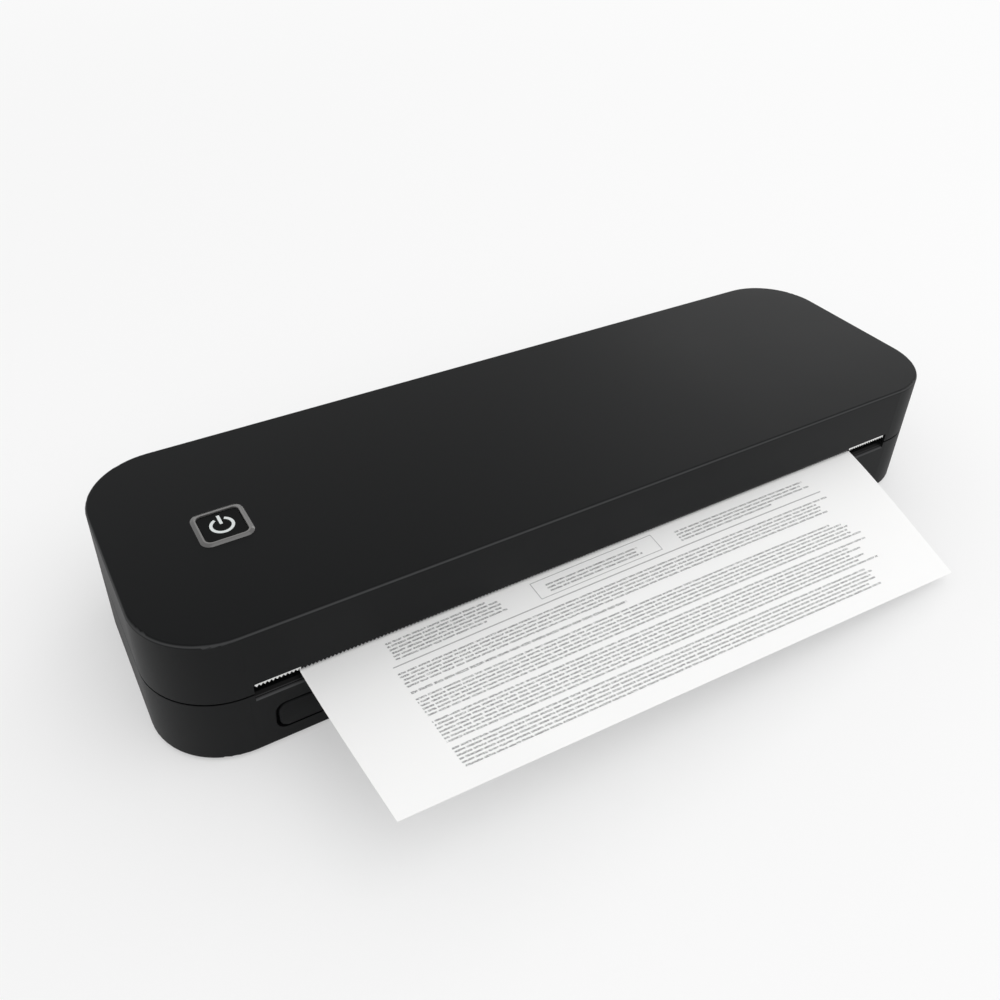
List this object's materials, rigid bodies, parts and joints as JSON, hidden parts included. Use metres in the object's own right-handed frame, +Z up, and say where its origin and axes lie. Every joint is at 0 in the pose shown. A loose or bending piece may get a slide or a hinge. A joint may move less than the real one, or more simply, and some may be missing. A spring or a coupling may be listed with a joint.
{
  "type": "a4 portable thermal printer",
  "caption": "Slim portable thermal printer with a rear-hinged cover, square power button, front paper slot with a serrated tear bar, and a printed sheet coming out.",
  "frame": {"origin": "on the table, under the middle of the case, in the plane of the rubber feet", "axes": "+X along the printer to its right, +Y to its back, +Z up; the paper comes out towards -Y"},
  "size_m": [0.29, 0.147, 0.0456],
  "materials": {
    "case_black": "fine soft-touch grain",
    "frame_plastic": "moulded",
    "bronze": "sintered",
    "cell_wrap": "shrink wrap",
    "board_green": "solder mask",
    "chip_black": "moulded",
    "bright_steel": "ground",
    "sheet_steel": "zinc plated",
    "motor_can": "satin",
    "tear_steel": "stamped",
    "dark_screw": "black zinc",
    "foot_rubber": "matte",
    "platen_rubber": "ground",
    "gear_plastic": "acetal",
    "brass": "machined",
    "paper_white": "coated paper",
    "core_board": "cardboard",
    "button_black": "fine grain",
    "aluminium": "extruded",
    "ceramic": "glazed",
    "bezel_grey": "satin gloss",
    "key_black": "polished",
    "symbol_grey": "printed inlay"
  },
  "bodies": {
    "base": {"base_housing": "case_black", "left_frame": "frame_plastic", "right_frame": "frame_plastic", "paper_bin": "frame_plastic", "platen_bushes": "bronze", "battery_holder": "frame_plastic", "battery_cells": "cell_wrap", "main_board": "board_green", "board_parts": "chip_black", "usb_socket": "bright_steel", "cover_switch": "chip_black", "paper_sensor": "chip_black", "motor_bracket": "sheet_steel", "stepper_motor": "motor_can", "idler_stud": "bright_steel", "hinge_pins": "bright_steel", "rubber_feet": "foot_rubber", "case_screws": "dark_screw", "board_screws": "bright_steel", "motor_screws": "dark_screw", "latch_spring": "bright_steel", "paper_sheet": "paper_white"},
    "platen": {"platen_shaft": "bright_steel", "platen_sleeve": "platen_rubber", "platen_gear": "gear_plastic"},
    "idler": {"idler_gear": "gear_plastic"},
    "motor_rotor": {"motor_shaft": "bright_steel", "motor_pinion": "brass"},
    "roll": {"paper_roll": "paper_white", "roll_core": "core_board", "roll_spindle": "frame_plastic"},
    "release": {"release_button": "button_black"},
    "latch": {"latch_shaft": "bright_steel", "latch_hooks": "sheet_steel", "release_lever": "sheet_steel"},
    "cover": {"top_cover": "case_black", "tear_bar": "tear_steel", "button_bezel": "bezel_grey", "button_board": "board_green", "head_carrier": "frame_plastic", "head_rod": "bright_steel", "head_springs": "bright_steel", "cover_screws": "dark_screw"},
    "head": {"heat_sink": "aluminium", "print_head": "ceramic", "head_driver_strip": "chip_black"},
    "power_key": {"power_button": "key_black", "power_symbol": "symbol_grey"}
  },
  "joints": [
    {"name": "cover_hinge", "type": "hinge", "parent": "base", "child": "cover", "pos_m": [0, 0.045, 0.023], "axis": [-1, 0, 0], "range_deg": [0, 85]},
    {"name": "platen_spin", "type": "hinge", "parent": "base", "child": "platen", "pos_m": [0, -0.031, 0.0204], "axis": [1, 0, 0], "continuous": true},
    {"name": "idler_spin", "type": "hinge", "parent": "base", "child": "idler", "pos_m": [0, -0.019, 0.0204], "axis": [1, 0, 0], "continuous": true},
    {"name": "motor_spin", "type": "hinge", "parent": "base", "child": "motor_rotor", "pos_m": [0, -0.00722, 0.01491], "axis": [1, 0, 0], "continuous": true},
    {"name": "roll_spin", "type": "hinge", "parent": "base", "child": "roll", "pos_m": [0, 0.018, 0.022], "axis": [1, 0, 0], "continuous": true},
    {"name": "release_push", "type": "slide", "parent": "base", "child": "release", "axis": [0, 1, 0], "range_m": [0, 0.0015], "stiffness_N_per_m": 600},
    {"name": "latch_turn", "type": "hinge", "parent": "base", "child": "latch", "pos_m": [0, -0.0365, 0.0065], "axis": [-1, 0, 0], "range_deg": [0, 12.5]},
    {"name": "head_lift", "type": "hinge", "parent": "cover", "child": "head", "pos_m": [0, -0.01323, 0.03473], "axis": [-1, 0, 0], "range_deg": [0, 2], "stiffness_Nm_per_rad": 0.6, "deforming": ["head_springs"]},
    {"name": "power_push", "type": "slide", "parent": "cover", "child": "power_key", "axis": [0, 0, -1], "range_m": [0, 0.0005], "stiffness_N_per_m": 400}
  ],
  "couplings": [
    {"joint": "idler_spin", "follows": "platen_spin", "ratio": -2},
    {"joint": "motor_spin", "follows": "platen_spin", "ratio": 6.6667},
    {"joint": "roll_spin", "follows": "platen_spin", "ratio": 0.46154},
    {"joint": "latch_turn", "follows": "release_push", "rad_per_m": 142.86}
  ]
}
